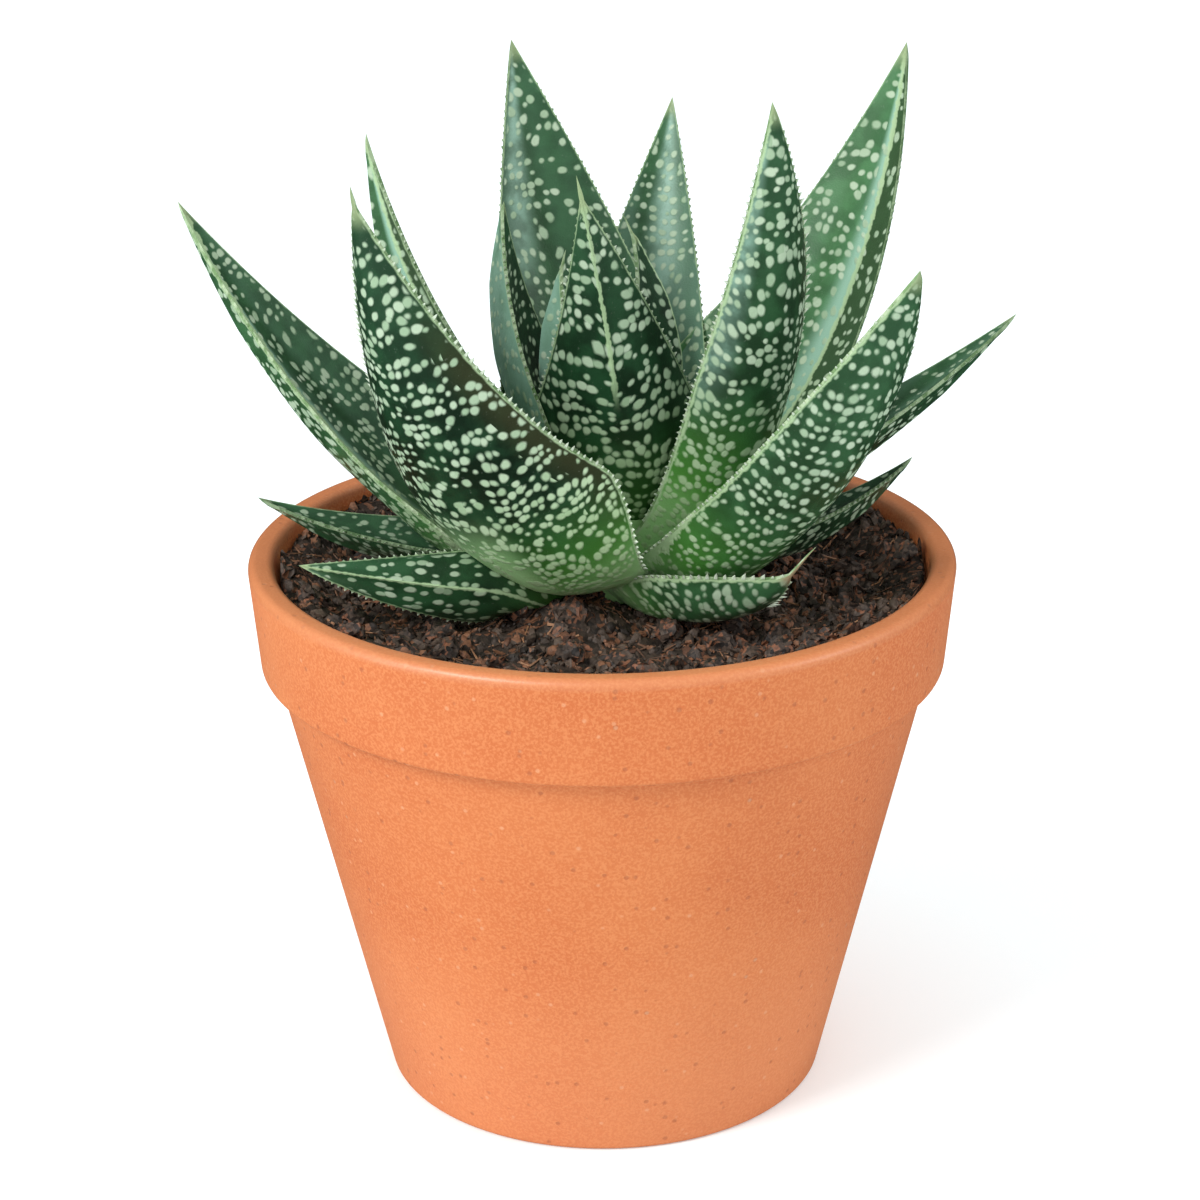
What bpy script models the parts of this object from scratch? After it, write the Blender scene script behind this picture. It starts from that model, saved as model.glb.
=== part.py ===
"""A spotted, keeled succulent in a clay pot.

Metres, Z up. The pot stands on Z = 0 with its axis on the Z axis, and its front is towards -Y.
"""
import math

import bmesh
import bpy
from mathutils import Vector, noise

GAP = 0.0003                    # between pieces that touch

# The pot, a common 13 cm clay pot.
POT_SIDES = 64
POT_HEIGHT = 0.1028
RIM_RADIUS = 0.0650
RIM_FOOT_RADIUS = 0.0634
RIM_FOOT_Z = 0.0827             # the rim band's lower edge
BODY_TOP_RADIUS = 0.0605
BASE_RADIUS = 0.0416
RIM_INNER_RADIUS = 0.0602
WALL_INNER_RADIUS = 0.0563      # level with the band's lower edge
FLOOR_INNER_RADIUS = 0.0386
FLOOR_THICKNESS = 0.0060
DRAIN_RADIUS = 0.0060
LIP_ROUND = 0.0012

# The soil, with its crumbly top a little below the lip.
SOIL_SIDES = 56
SOIL_RINGS = 13
SOIL_TOP = 0.0954
SOIL_TOP_AT_WALL = 0.0975
SOIL_RELIEF = 0.0008
SOIL_SLOPE_START = 0.0450
CRUMB_SIZE = 0.0060

# The short stem in the middle of the rosette, and the hole it stands in.
STEM_SIDES = 32
STEM_CENTRE = (0.0020, -0.0050)
STEM_RADIUS = 0.0060
STEM_FOOT = 0.0700
CROWN_BASE = 0.0985             # where the stem widens into the crown the leaves grow from
CROWN_RADIUS = 0.0125
CROWN_HEIGHT = 0.0220
CROWN_STEPS = 8

# The leaves.
TOOTH = 0.0009                  # how far a tooth stands out of the leaf's edge
TOOTH_PITCH = 0.0040
EDGE_THICKNESS = 0.0010
TEETH_FROM = 0.06               # shares of the leaf's length
TEETH_TO = 0.93

# What a leaf has unless its own line says otherwise. Angles are degrees, lengths metres.
USUAL = dict(
    face=0,                     # turns the upper skin away from the stem
    width=0.025,
    foot=0.75,                  # width at the foot, as a share of the whole
    peak=0.22,                  # where along the leaf it is widest
    taper=1.35,                 # how long it keeps its width past that
    thick=0.005,
    foot_thick=0.8,
    cup=0.3,                    # how hollow the upper skin is
    foot_cup=0.6,
    roll=0,                     # turns the blade about its own length
    keel=0.0015,                # how far the ridge under the leaf stands out
    keel_at=0.0,                # where the ridge runs, from the middle towards an edge
)

# From the middle of the rosette outwards. Each leaf is pressed into shape by those before it.
# heading: the way it grows; out and up: where its foot is on the crown; rise and reach: the
# direction and distance it first grows in before it bends towards its tip.
LEAVES = {
    "leaf_centre": dict(
        heading=280, out=0.004, up=0.012, rise=68, reach=0.030, tip=(-0.004, -0.019, 0.177),
        width=0.034, cup=0.25, taper=1.05),
    "leaf_young_right": dict(
        heading=345, out=0.004, up=0.015, rise=62, reach=0.026, tip=(0.004, -0.002, 0.166),
        width=0.028, foot=0.5, peak=0.4, thick=0.003),
    "leaf_young_left": dict(
        heading=190, out=0.004, up=0.016, rise=65, reach=0.022, tip=(-0.006, -0.007, 0.161),
        width=0.020, thick=0.003, cup=0.2),
    "leaf_inner_left": dict(
        heading=165, out=0.005, up=0.014, rise=55, reach=0.026, tip=(-0.017, 0.002, 0.1675),
        width=0.029, cup=0.2, roll=8),
    "leaf_inner_right": dict(
        heading=335, face=-35, out=0.011, up=0.008, rise=50, reach=0.038,
        tip=(0.029, -0.022, 0.190), width=0.0215, foot=0.8, peak=0.4, taper=1.5, thick=0.006,
        cup=0.2),
    "leaf_inner_front_left": dict(
        heading=195, out=0.0065, up=0.011, rise=40, reach=0.036, tip=(-0.040, -0.012, 0.183),
        cup=0.2, roll=8),
    "leaf_tall_back": dict(
        heading=108, out=0.005, up=0.012, rise=60, reach=0.032, tip=(-0.016, 0.030, 0.191),
        width=0.035, cup=0.2),
    "leaf_back_right": dict(
        heading=80, out=0.008, up=0.008, rise=42, reach=0.032, tip=(0.014, 0.048, 0.1765),
        width=0.029, cup=0.2),
    "leaf_bud": dict(
        heading=95, out=0.001, up=0.017, rise=85, reach=0.014, tip=(0.003, -0.002, 0.147),
        width=0.015, foot=0.9, peak=0.3, thick=0.004),
    "leaf_tall_right": dict(
        heading=28, out=0.007, up=0.010, rise=28, reach=0.044, tip=(0.056, 0.025, 0.191),
        width=0.042, foot=0.55, thick=0.006, cup=0.2, roll=12),
    "leaf_front_left": dict(
        heading=226, out=0.009, up=0.0055, rise=10, reach=0.035, tip=(-0.041, -0.038, 0.180),
        width=0.047, thick=0.0075, foot_thick=0.7, foot_cup=0.4, roll=10, taper=1.2),
    "leaf_front_right": dict(
        heading=318, face=-15, out=0.009, up=0.0035, rise=22, reach=0.044,
        tip=(0.053, -0.038, 0.165), width=0.027, foot=0.4, peak=0.5, taper=1.9, thick=0.007,
        cup=0.2, foot_cup=0.4),
    "leaf_left": dict(
        heading=170, out=0.009, up=0.006, rise=17, reach=0.042, tip=(-0.076, 0.010, 0.166),
        width=0.031, thick=0.007, cup=0.15, roll=-14, keel_at=0.5),
    "leaf_right": dict(
        heading=8, out=0.009, up=0.008, rise=14, reach=0.028, tip=(0.076, 0.010, 0.144),
        width=0.023, thick=0.004, cup=0.2),
    "leaf_low_back_2": dict(
        heading=105, out=0.009, up=0.006, rise=14, reach=0.028, tip=(-0.014, 0.046, 0.117),
        foot=0.6),
    "leaf_low_back_4": dict(
        heading=40, out=0.009, up=0.006, rise=10, reach=0.030, tip=(0.048, 0.036, 0.112),
        foot=0.6),
    "leaf_low_back_1": dict(
        heading=136, out=0.009, up=0.003, rise=8, reach=0.030, tip=(-0.046, 0.040, 0.114),
        foot=0.6),
    "leaf_low_back_3": dict(
        heading=72, out=0.009, up=0.003, rise=10, reach=0.028, tip=(0.020, 0.045, 0.118),
        foot=0.6),
    "leaf_low_left": dict(
        heading=178, out=0.009, up=0.003, rise=3, reach=0.030, tip=(-0.063, 0.000, 0.113),
        width=0.023, thick=0.0045, cup=0.2),
    "leaf_low_right": dict(
        heading=5, out=0.009, up=0.003, rise=0, reach=0.024, tip=(0.058, 0.012, 0.116),
        width=0.020, thick=0.004, cup=0.2),
    "leaf_low_front_left": dict(
        heading=228, out=0.009, up=0.0025, rise=9, reach=0.031, tip=(-0.054, -0.020, 0.107),
        width=0.013, thick=0.0045, cup=0.1, roll=75, peak=0.4, foot=0.6),
    "leaf_low_front_right": dict(
        heading=300, out=0.009, up=0.002, rise=5, reach=0.029, tip=(0.037, -0.034, 0.115),
        width=0.015, thick=0.0045, keel=0.0005, cup=0.2, roll=-15, peak=0.5, foot=0.5),
}

# Once round a leaf's section: across the leaf from edge to edge, then which skin.
UPPER, LOWER = 1, -1
SECTION = (
    (1.0, UPPER), (0.0, UPPER), (-1.0, UPPER),
    (-1.0, LOWER), (-0.55, LOWER), (0.0, LOWER), (0.55, LOWER), (1.0, LOWER),
)
KEEL_SHARE = (1.0, 0.55)        # how far the middle and its neighbours follow keel_at


def clear_scene():
    for obj in list(bpy.data.objects):
        bpy.data.objects.remove(obj, do_unlink=True)


def new_material(name, colour, roughness):
    material = bpy.data.materials.new(name)
    material.use_nodes = True
    shader = material.node_tree.nodes["Principled BSDF"]
    shader.inputs["Base Color"].default_value = (*colour, 1.0)
    shader.inputs["Roughness"].default_value = roughness
    shader.inputs["Metallic"].default_value = 0.0
    return material


def new_object(name, bm, material=None):
    bmesh.ops.recalc_face_normals(bm, faces=bm.faces)
    mesh = bpy.data.meshes.new(name)
    bm.to_mesh(mesh)
    bm.free()
    obj = bpy.data.objects.new(name, mesh)
    bpy.context.scene.collection.objects.link(obj)
    if material is None:
        obj.hide_render = True
        obj.display_type = "WIRE"
    else:
        mesh.materials.append(material)
    return obj


def shade_round(obj, degrees):
    obj.data.shade_smooth()
    obj.data.set_sharp_from_angle(angle=math.radians(degrees))


def turned(profile, sides, centre=(0.0, 0.0), closed=False):
    """Spins a profile of (radius, height) points once round the upright line at centre.

    A closed profile is a loop that stays off the line. An open one ends on it at both ends.
    """
    bm = bmesh.new()
    verts = [bm.verts.new((centre[0] + r, centre[1], z)) for r, z in profile]
    edges = [bm.edges.new(pair) for pair in zip(verts, verts[1:])]
    if closed:
        edges.append(bm.edges.new((verts[-1], verts[0])))
    bmesh.ops.spin(
        bm, geom=verts + edges, cent=(centre[0], centre[1], 0.0), axis=(0.0, 0.0, 1.0),
        angle=math.tau, steps=sides, use_merge=True)
    bmesh.ops.remove_doubles(bm, verts=bm.verts, dist=0.000001)
    return bm


def smooth(x):
    """Goes from 0 to 1 with no corner at either end."""
    x = min(1.0, max(0.0, x))
    return x * x * (3.0 - 2.0 * x)


def pot_inner_radius(z):
    """The pot's inner wall leans out from its floor to the band, then less steeply to the lip."""
    if z < RIM_FOOT_Z:
        share = (z - FLOOR_THICKNESS) / (RIM_FOOT_Z - FLOOR_THICKNESS)
        return FLOOR_INNER_RADIUS + share * (WALL_INNER_RADIUS - FLOOR_INNER_RADIUS)
    share = (z - RIM_FOOT_Z) / (POT_HEIGHT - LIP_ROUND - RIM_FOOT_Z)
    return WALL_INNER_RADIUS + share * (RIM_INNER_RADIUS - WALL_INNER_RADIUS)


def lip_points():
    """The rounded top of the rim, from outside to inside."""
    points = []
    for side, radius in ((1, RIM_RADIUS), (-1, RIM_INNER_RADIUS)):
        corner = []
        for step in range(4):
            angle = math.radians(30 * step)
            corner.append((
                radius - side * LIP_ROUND * (1.0 - math.cos(angle)),
                POT_HEIGHT - LIP_ROUND * (1.0 - math.sin(angle))))
        points += corner if side > 0 else corner[::-1]
    return points


def build_pot(material):
    foot = 0.0010
    profile = [
        (DRAIN_RADIUS, 0.0), (BASE_RADIUS - foot, 0.0), (BASE_RADIUS + 0.0002, foot),
        (BODY_TOP_RADIUS, RIM_FOOT_Z - 0.0006), (BODY_TOP_RADIUS + 0.0008, RIM_FOOT_Z),
        (RIM_FOOT_RADIUS - 0.0006, RIM_FOOT_Z), (RIM_FOOT_RADIUS, RIM_FOOT_Z + 0.0006)]
    profile += lip_points()
    profile += [
        (WALL_INNER_RADIUS, RIM_FOOT_Z), (FLOOR_INNER_RADIUS, FLOOR_THICKNESS),
        (DRAIN_RADIUS, FLOOR_THICKNESS)]
    pot = new_object("pot", turned(profile, POT_SIDES, closed=True), material)
    shade_round(pot, 35)


def soil_height(x, y):
    """Crumbs everywhere, and a slope up to the wall."""
    r = math.hypot(x, y)
    wall = pot_inner_radius(SOIL_TOP)
    slope = smooth((r - SOIL_SLOPE_START) / (wall - SOIL_SLOPE_START))
    crumbs = noise.noise(Vector((x, y, 0.0)) / CRUMB_SIZE)
    return SOIL_TOP + slope * (SOIL_TOP_AT_WALL - SOIL_TOP) + crumbs * SOIL_RELIEF


def build_soil(material):
    top = SOIL_TOP_AT_WALL
    outer = pot_inner_radius(top) - GAP
    profile = [
        (0.0, FLOOR_THICKNESS + GAP), (FLOOR_INNER_RADIUS - GAP, FLOOR_THICKNESS + GAP),
        (WALL_INNER_RADIUS - GAP, RIM_FOOT_Z)]
    profile += [(outer * (1.0 - ring / SOIL_RINGS), top) for ring in range(SOIL_RINGS + 1)]
    bm = turned(profile, SOIL_SIDES)
    for vert in bm.verts:
        if vert.co.z > top - GAP:
            vert.co.z = soil_height(vert.co.x, vert.co.y)
    bmesh.ops.triangulate(bm, faces=bm.faces)
    soil = new_object("soil", bm, material)

    bm = bmesh.new()
    bmesh.ops.create_cone(
        bm, cap_ends=True, segments=STEM_SIDES, radius1=STEM_RADIUS + GAP,
        radius2=STEM_RADIUS + GAP, depth=0.060)
    bmesh.ops.translate(bm, verts=bm.verts, vec=(*STEM_CENTRE, STEM_FOOT - GAP + 0.030))
    cut(soil, [new_object("stem_hole", bm)])


def crown_profile(grow=0.0):
    """Half of the crown's outline, from its widest ring to its top."""
    points = []
    for step in range(CROWN_STEPS):
        angle = math.pi / 2 * step / CROWN_STEPS
        points.append((
            (CROWN_RADIUS + grow) * math.cos(angle) ** 0.9,
            CROWN_BASE + (CROWN_HEIGHT + grow) * math.sin(angle)))
    points.append((0.0, CROWN_BASE + CROWN_HEIGHT + grow))
    return points


def build_stem(material):
    profile = [
        (0.0, STEM_FOOT), (STEM_RADIUS, STEM_FOOT), (STEM_RADIUS, CROWN_BASE - 0.0010),
        (CROWN_RADIUS - 0.0015, CROWN_BASE - 0.0010)]
    profile += crown_profile()
    stem = new_object("stem", turned(profile, STEM_SIDES, centre=STEM_CENTRE), material)
    shade_round(stem, 40)


def crown_cutter():
    """The room that the crown takes at the leaves' feet."""
    below = CROWN_BASE - 0.0080
    profile = [(0.0, below), (CROWN_RADIUS + GAP, below)] + crown_profile(GAP)
    return new_object("crown_room", turned(profile, STEM_SIDES, centre=STEM_CENTRE))


def midline(leaf, steps=60):
    """Points and directions along the leaf's curve, and how far along each is."""
    angle = math.radians(leaf["heading"])
    rise = math.radians(leaf["rise"])
    way = Vector((math.cos(angle), math.sin(angle), 0.0))
    foot = Vector((*STEM_CENTRE, CROWN_BASE + leaf["up"])) + way * leaf["out"]
    bend = foot + leaf["reach"] * (way * math.cos(rise) + Vector((0.0, 0.0, math.sin(rise))))
    tip = Vector(leaf["tip"])
    points, directions, runs = [], [], []
    for step in range(steps + 1):
        t = step / steps
        points.append((1 - t) ** 2 * foot + 2 * t * (1 - t) * bend + t ** 2 * tip)
        directions.append(((1 - t) * (bend - foot) + t * (tip - bend)).normalized())
        runs.append(0.0 if step == 0 else runs[-1] + (points[-1] - points[-2]).length)
    return points, directions, runs


def place_on_leaf(leaf, curve, u):
    """The point at share u of the leaf's length, with its directions across and up the blade."""
    points, directions, runs = curve
    run = u * runs[-1]
    i = next(n for n in range(len(runs) - 1) if runs[n + 1] >= run - 1e-9)
    share = (run - runs[i]) / (runs[i + 1] - runs[i])
    point = points[i].lerp(points[i + 1], share)
    along = directions[i].lerp(directions[i + 1], share).normalized()
    angle = math.radians(leaf["heading"] + leaf["face"])
    inward = Vector((-math.cos(angle), -math.sin(angle), 1.0))
    up = (inward - along * inward.dot(along)).normalized()
    across = up.cross(along)
    roll = math.radians(leaf["roll"]) * smooth(u / 0.4)
    return (
        point,
        across * math.cos(roll) + up * math.sin(roll),
        up * math.cos(roll) - across * math.sin(roll))


def half_width(leaf, u):
    peak = leaf["peak"]
    if u < peak:
        share = leaf["foot"] + (1.0 - leaf["foot"]) * math.sin(math.pi / 2 * u / peak)
    else:
        share = 1.0 - ((u - peak) / (1.0 - peak)) ** leaf["taper"]
    return leaf["width"] / 2 * share


def section_points(leaf, u, grow):
    """(across, up) for each point once round the leaf at share u of its length."""
    half = half_width(leaf, u)
    end = 1.0 - u
    swell = leaf["foot_thick"] + (1.0 - leaf["foot_thick"]) * smooth(u / 0.15)
    edge = min(EDGE_THICKNESS, 0.5 * half + 0.00015)
    thick = max(1.1 * edge, leaf["thick"] * swell * min(1.0, end / 0.75) ** 0.8)
    open_up = leaf["foot_cup"] + (1.0 - leaf["foot_cup"]) * smooth(u / 0.35)
    cup = 2.0 * leaf["cup"] * half * (1.0 - 0.6 * u) * open_up
    keel = leaf["keel"] * smooth((u - 0.3) / 0.25) * min(1.0, end / 0.25)
    points = []
    for across, skin in SECTION:
        if skin == LOWER and abs(across) < 1.0:
            across += leaf["keel_at"] * KEEL_SHARE[across != 0.0]
            middle = across == leaf["keel_at"]
            height = -edge - (thick - edge) * (1.0 - abs(across) ** 2.2)
            height -= keel if middle else 0.0
        else:
            height = 0.0 if skin == UPPER else -edge
        points.append((across * half, cup * across ** 2 + height + skin * grow))
    return points


def leaf_mesh(leaf, grow=0.0, spread=0.0, toothed=True):
    """A blade made by extruding its section from the foot to the tip.

    grow and spread make it thicker and wider all over, for the room that it takes.
    """
    leaf = {**USUAL, **leaf}
    leaf["width"] += spread
    curve = midline(leaf)
    count = max(8, round(curve[2][-1] / TOOTH_PITCH))
    stations = [n / count for n in range(count) if n / count < 0.985] + [0.985]

    bm = bmesh.new()
    ring = bmesh.ops.create_circle(bm, cap_ends=True, segments=len(SECTION), radius=0.001)["verts"]
    margins = []
    for number, u in enumerate(stations):
        if number:
            ring, sides = extrude_end(bm, ring)
            if toothed and TEETH_FROM < stations[number - 1] < TEETH_TO:
                margins += [sides[2], sides[-1]]
        point, across, up = place_on_leaf(leaf, curve, u)
        for vert, (x, z) in zip(ring, section_points(leaf, u, grow)):
            vert.co = point + across * x + up * z
    ring, sides = extrude_end(bm, ring)
    bmesh.ops.pointmerge(bm, verts=ring, merge_co=Vector(leaf["tip"]))
    bmesh.ops.recalc_face_normals(bm, faces=bm.faces)
    bmesh.ops.poke(bm, faces=margins, offset=TOOTH)
    bmesh.ops.triangulate(bm, faces=bm.faces, quad_method="FIXED")
    return bm


def extrude_end(bm, ring):
    """Extrudes the face whose corners are ring. Gives the new ring and the new side faces."""
    face = next(f for f in ring[0].link_faces if all(v in f.verts for v in ring))
    inside_now = any(len(edge.link_faces) > 1 for edge in face.edges)
    grown = bmesh.ops.extrude_face_region(bm, geom=[face])["geom"]
    if inside_now:
        bmesh.ops.delete(bm, geom=[face], context="FACES_ONLY")
    tops = {item for item in grown if isinstance(item, bmesh.types.BMVert)}
    new_ring = [next(e.other_vert(v) for e in v.link_edges if e.other_vert(v) in tops) for v in ring]
    sides = []
    for n, vert in enumerate(ring):
        corners = {vert, ring[(n + 1) % len(ring)], new_ring[n]}
        sides.append(next(f for f in vert.link_faces if corners <= set(f.verts) and len(f.verts) == 4))
    return new_ring, sides


def cut(obj, cutters):
    """Takes the cutters out of obj, keeps its largest piece and removes the cutters it alone used."""
    for cutter in cutters:
        modifier = obj.modifiers.new(cutter.name, "BOOLEAN")
        modifier.operation = "DIFFERENCE"
        modifier.object = cutter
    depsgraph = bpy.context.evaluated_depsgraph_get()
    mesh = bpy.data.meshes.new_from_object(obj.evaluated_get(depsgraph))
    obj.modifiers.clear()
    obj.data = mesh
    mesh.name = obj.name
    bm = bmesh.new()
    bm.from_mesh(mesh)
    bmesh.ops.triangulate(bm, faces=bm.faces)
    bmesh.ops.dissolve_degenerate(bm, dist=0.000002, edges=bm.edges)
    pieces = separate_pieces(bm)
    pieces.sort(key=lambda faces: sum(face.calc_area() for face in faces))
    loose = [face for faces in pieces[:-1] for face in faces]
    bmesh.ops.delete(bm, geom=loose, context="FACES")
    bm.to_mesh(mesh)
    bm.free()


def separate_pieces(bm):
    """The faces of each piece of the mesh that hangs together."""
    pieces = []
    seen = set()
    for start in bm.faces:
        if start in seen:
            continue
        seen.add(start)
        piece = [start]
        for face in piece:
            for edge in face.edges:
                for other in edge.link_faces:
                    if other not in seen:
                        seen.add(other)
                        piece.append(other)
        pieces.append(piece)
    return pieces


def boxes_meet(a, b):
    """Whether the boxes round two objects overlap."""
    for axis in range(3):
        low_a = min(vert.co[axis] for vert in a.data.vertices)
        high_a = max(vert.co[axis] for vert in a.data.vertices)
        low_b = min(vert.co[axis] for vert in b.data.vertices)
        high_b = max(vert.co[axis] for vert in b.data.vertices)
        if high_a < low_b or high_b < low_a:
            return False
    return True


def build_leaves(materials):
    rooms = [crown_cutter()]
    for number, (name, leaf) in enumerate(LEAVES.items()):
        obj = new_object(name, leaf_mesh(leaf), materials[number % len(materials)])
        cut(obj, [room for room in rooms if boxes_meet(obj, room)])
        shade_round(obj, 30)
        room = leaf_mesh(leaf, grow=GAP + 0.00005, spread=2 * (TOOTH + GAP + 0.0002), toothed=False)
        rooms.append(new_object(name + "_room", room))


def main():
    clear_scene()
    clay = new_material("terracotta", (0.62, 0.25, 0.11), 0.85)
    earth = new_material("soil", (0.035, 0.022, 0.014), 0.95)
    stalk = new_material("stem", (0.30, 0.40, 0.12), 0.55)
    greens = [
        new_material("leaf_green", (0.060, 0.110, 0.035), 0.40),
        new_material("leaf_dark_green", (0.045, 0.085, 0.030), 0.40)]
    build_pot(clay)
    build_soil(earth)
    build_stem(stalk)
    build_leaves(greens)
    for obj in list(bpy.data.objects):
        if obj.display_type == "WIRE":
            bpy.data.objects.remove(obj, do_unlink=True)


main()
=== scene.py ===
"""The potted gasteria, dressed: spotted, toothed leaves, crumbly soil and a clay pot.

Metres, Z up. The pot stands on Z = 0 with its axis on the Z axis, and its front is towards -Y.
"""
import math
import random

import bmesh
import bpy
from mathutils import Matrix, Vector, noise


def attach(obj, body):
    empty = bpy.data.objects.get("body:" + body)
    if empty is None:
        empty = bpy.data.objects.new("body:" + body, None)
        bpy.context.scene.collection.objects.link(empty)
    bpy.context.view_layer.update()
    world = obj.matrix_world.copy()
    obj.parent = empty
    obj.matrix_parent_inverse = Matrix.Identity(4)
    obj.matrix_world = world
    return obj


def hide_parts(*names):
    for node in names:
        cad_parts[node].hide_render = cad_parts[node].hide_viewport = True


MM = 0.001
GAP = 0.3 * MM

# The pot.
POT_SIDES = 192
POT_HEIGHT = 0.1028
RIM_RADIUS = 0.0650
RIM_FOOT_RADIUS = 0.0634
RIM_FOOT_Z = 0.0827
BODY_TOP_RADIUS = 0.0605
BASE_RADIUS = 0.0416
RIM_INNER_RADIUS = 0.0602
WALL_INNER_RADIUS = 0.0563
FLOOR_INNER_RADIUS = 0.0386
FLOOR_THICKNESS = 0.0060
DRAIN_RADIUS = 0.0060

# The soil.
SOIL_SIDES = 180
SOIL_RINGS = 60
SOIL_TOP = 0.0954
SOIL_TOP_AT_WALL = 0.0995
SOIL_SLOPE_START = 0.0450
CLUMP_SPREAD = 0.0090
GOLDEN_ANGLE = 2.39996

# The stem that the leaves grow round.
STEM_SIDES = 48
STEM_CENTRE = (0.0020, -0.0050)
STEM_RADIUS = 0.0060
STEM_FOOT = 0.0700
CROWN_BASE = 0.0985
CROWN_RADIUS = 0.0125
CROWN_HEIGHT = 0.0220
CROWN_STEPS = 14

# The leaves.
UPPER, LOWER, EDGE = 0, 1, 2    # a leaf's two skins and the band round its edge
ROW_PITCH = 0.00065             # a tooth grows on every other row of the edge
UPPER_STEPS, LOWER_STEPS = 14, 18
EDGE_THICKNESS = 0.0006

# What a leaf has unless its own line says otherwise. Angles are degrees, lengths metres.
USUAL = dict(
    face=0, width=0.025, foot=0.75, peak=0.22, taper=1.35, thick=0.005, foot_thick=0.8,
    cup=0.3, foot_cup=0.6, roll=0, keel=0.0015, keel_at=0.0, keel_width=0.45, teeth=0.0008,
    spike=0.0, dry=0.0, sag=0.0, lean=0.0, crown_cut=False,
    # The greens of the lower and upper skin, 0 light to 1 dark, and the painted blue sheen on
    # each.
    deep=0.8, upper_deep=0.75, blue=0.0, upper_blue=0.3,
    # Light green at the foot, a painted glow of light shining through the leaf, and how far up it
    # goes;
    # mint below that and down the - side of the lower skin, a pale colour painted paler as light
    # on the shaded foot; and brown along the edge on the + side.
    glow=0.5, glow_reach=0.40, mint=0.0, mint_reach=0.2, mint_side=0.0, brown=0.0,
    # A painted soft bluish sheen down one skin: how strong, where across (-1 to 1), how wide,
    # from where.
    sheen=0.0, sheen_skin=UPPER, sheen_at=0.0, sheen_wide=0.4, sheen_from=0.2,
    # Spots: how many on each skin, their radius, length across, spacing, crowding and white.
    spots=0.8, upper_spots=0.65, spot_size=0.00078, spot_long=1.0, spacing=1.0, crowd=0.5,
    spot_white=0.92,
    # Pale lines: along the keel, and along each edge, wider near the foot.
    keel_line=0.0, keel_from=0.38, plus_band=0.0002, minus_band=0.0002, foot_band=0.0,
    edge_pale=0.6,
    # A raised pale line inside one edge, with a painted bluish sheen before it and beyond it a
    # darker strip, brown-green and darkened as painted shade.
    ridge_skin=None, ridge_side=1, ridge_at=0.8, ridge_line=0.0009, ridge_sheen=0.6,
    ridge_sheen_wide=0.35, ridge_shade_beyond=0.0,
)

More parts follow.
